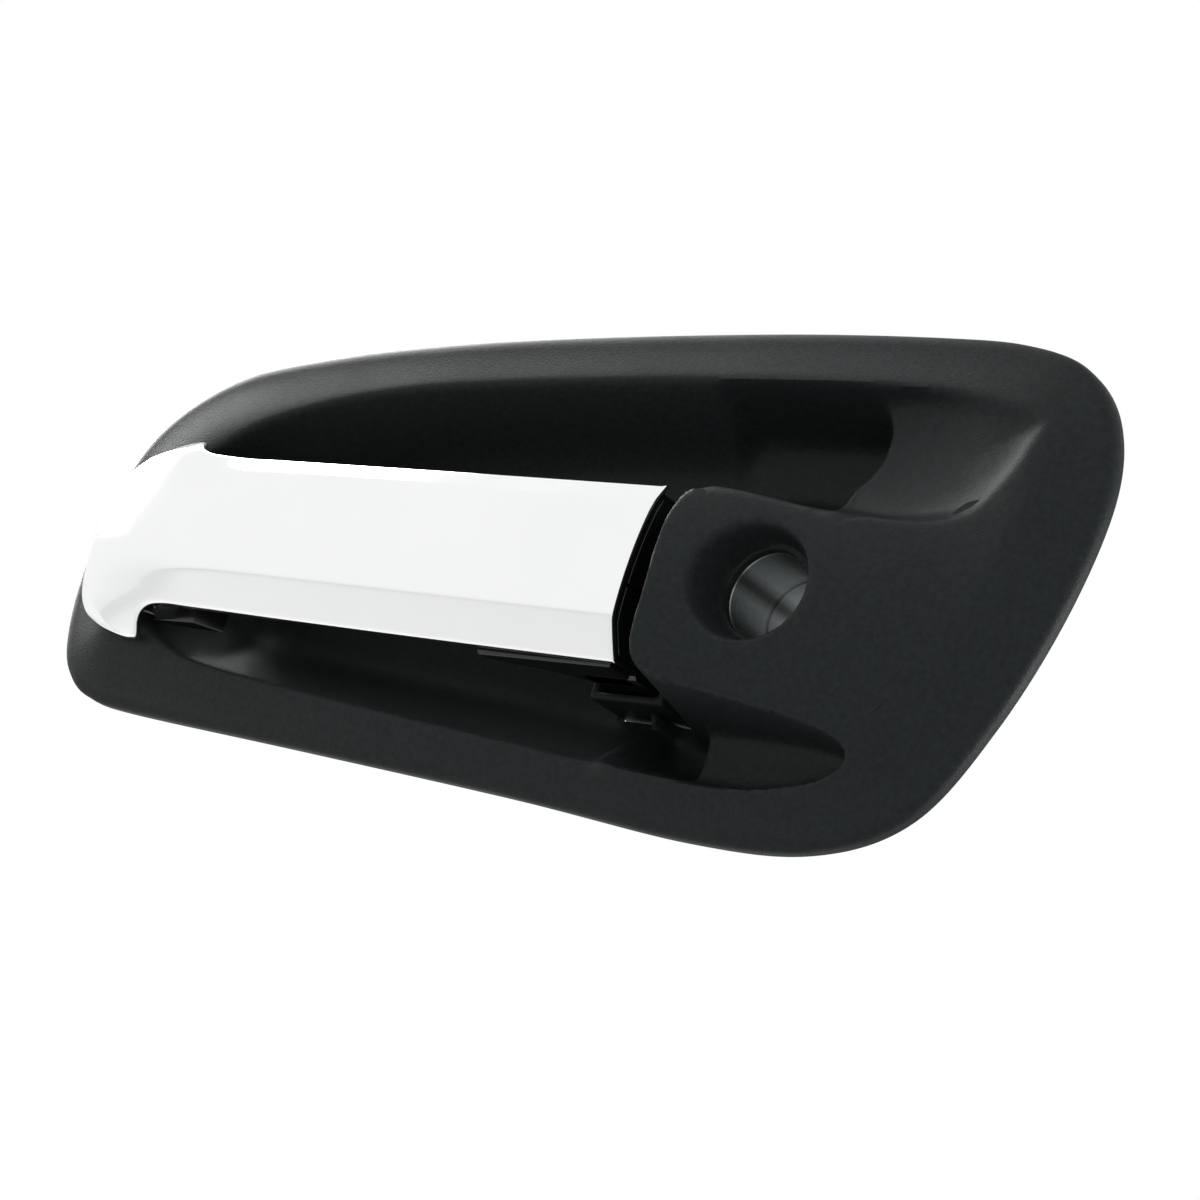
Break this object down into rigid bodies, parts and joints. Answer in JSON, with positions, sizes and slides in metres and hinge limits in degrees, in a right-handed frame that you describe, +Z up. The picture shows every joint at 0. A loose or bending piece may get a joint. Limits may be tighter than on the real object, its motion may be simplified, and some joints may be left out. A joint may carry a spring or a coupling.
{
  "type": "car door handle",
  "caption": "Pull-type outside door handle: black moulded bezel with a finger pocket, hinged chrome grip, open lock barrel, and a sprung bellcrank linkage behind.",
  "frame": {"origin": "on the axis of the lock barrel, in the plane of the door skin's outer face, where the gasket rests", "axes": "+X along the handle from the hinge end to the lock end, +Y into the door, +Z up"},
  "size_m": [0.2971, 0.0829, 0.1231],
  "materials": {
    "bezel_plastic": "moulded charcoal-black plastic with a fine leather-like grain, satin",
    "gloss_black": "smooth black moulded plastic with a soft gloss",
    "chrome": "bright mirror chrome plating over a moulded cover",
    "barrel_metal": "turned die-cast metal with fine circumferential tool marks",
    "zinc_steel": "bright zinc plated pressed steel",
    "spring_steel": "oiled dark spring steel",
    "cast_zinc": "as-cast zinc alloy, matt with a fine skin",
    "foam": "closed-cell foam rubber gasket, matt",
    "rubber": "moulded rubber, matt",
    "nylon": "natural nylon, slightly translucent off-white"
  },
  "bodies": {
    "mounting": {"bezel": "bezel_plastic", "hinge_pin": "zinc_steel", "hinge_pin_clip": "spring_steel", "grip_spring": "spring_steel", "grip_guide": "bezel_plastic", "bump_stop": "rubber", "door_gasket": "foam", "lock_sleeve": "barrel_metal", "sleeve_clip": "spring_steel", "chassis": "zinc_steel", "chassis_screw_1": "zinc_steel", "chassis_screw_2": "zinc_steel", "chassis_screw_3": "zinc_steel", "chassis_screw_4": "zinc_steel", "mount_stud_1": "zinc_steel", "flange_nut_1": "zinc_steel", "mount_stud_2": "zinc_steel", "flange_nut_2": "zinc_steel", "mount_stud_3": "zinc_steel", "flange_nut_3": "zinc_steel", "bellcrank_pin": "zinc_steel", "bellcrank_pin_clip": "spring_steel", "bellcrank_spring": "spring_steel"},
    "grip": {"grip_cover": "chrome", "grip_base": "gloss_black", "grip_end_cap": "gloss_black", "grip_claw": "gloss_black", "cover_screw_1": "zinc_steel", "cover_screw_2": "zinc_steel", "hinge_bush_lower": "nylon", "hinge_bush_upper": "nylon"},
    "bellcrank": {"bellcrank": "cast_zinc", "counterweight": "cast_zinc"},
    "rod_clip": {"rod_clip": "nylon"}
  },
  "joints": [
    {"name": "grip_hinge", "type": "hinge", "parent": "mounting", "child": "grip", "pos_m": [-0.208, 0.007, 0], "axis": [0, 0, -1], "range_deg": [0, 7], "stiffness_Nm_per_rad": 4, "springref_deg": -17.19},
    {"name": "bellcrank_hinge", "type": "hinge", "parent": "mounting", "child": "bellcrank", "pos_m": [-0.0535, 0.0375, 0.006], "axis": [-1, 0, 0], "range_deg": [0, 54.1], "stiffness_Nm_per_rad": 0.03, "springref_deg": -34.38},
    {"name": "rod_clip_swivel", "type": "hinge", "parent": "bellcrank", "child": "rod_clip", "pos_m": [-0.048, 0.0555, 0.01], "axis": [1, 0, 0], "range_deg": [-60, 60]}
  ],
  "couplings": [
    {"joint": "bellcrank_hinge", "follows": "grip_hinge", "ratio": 7.72}
  ]
}
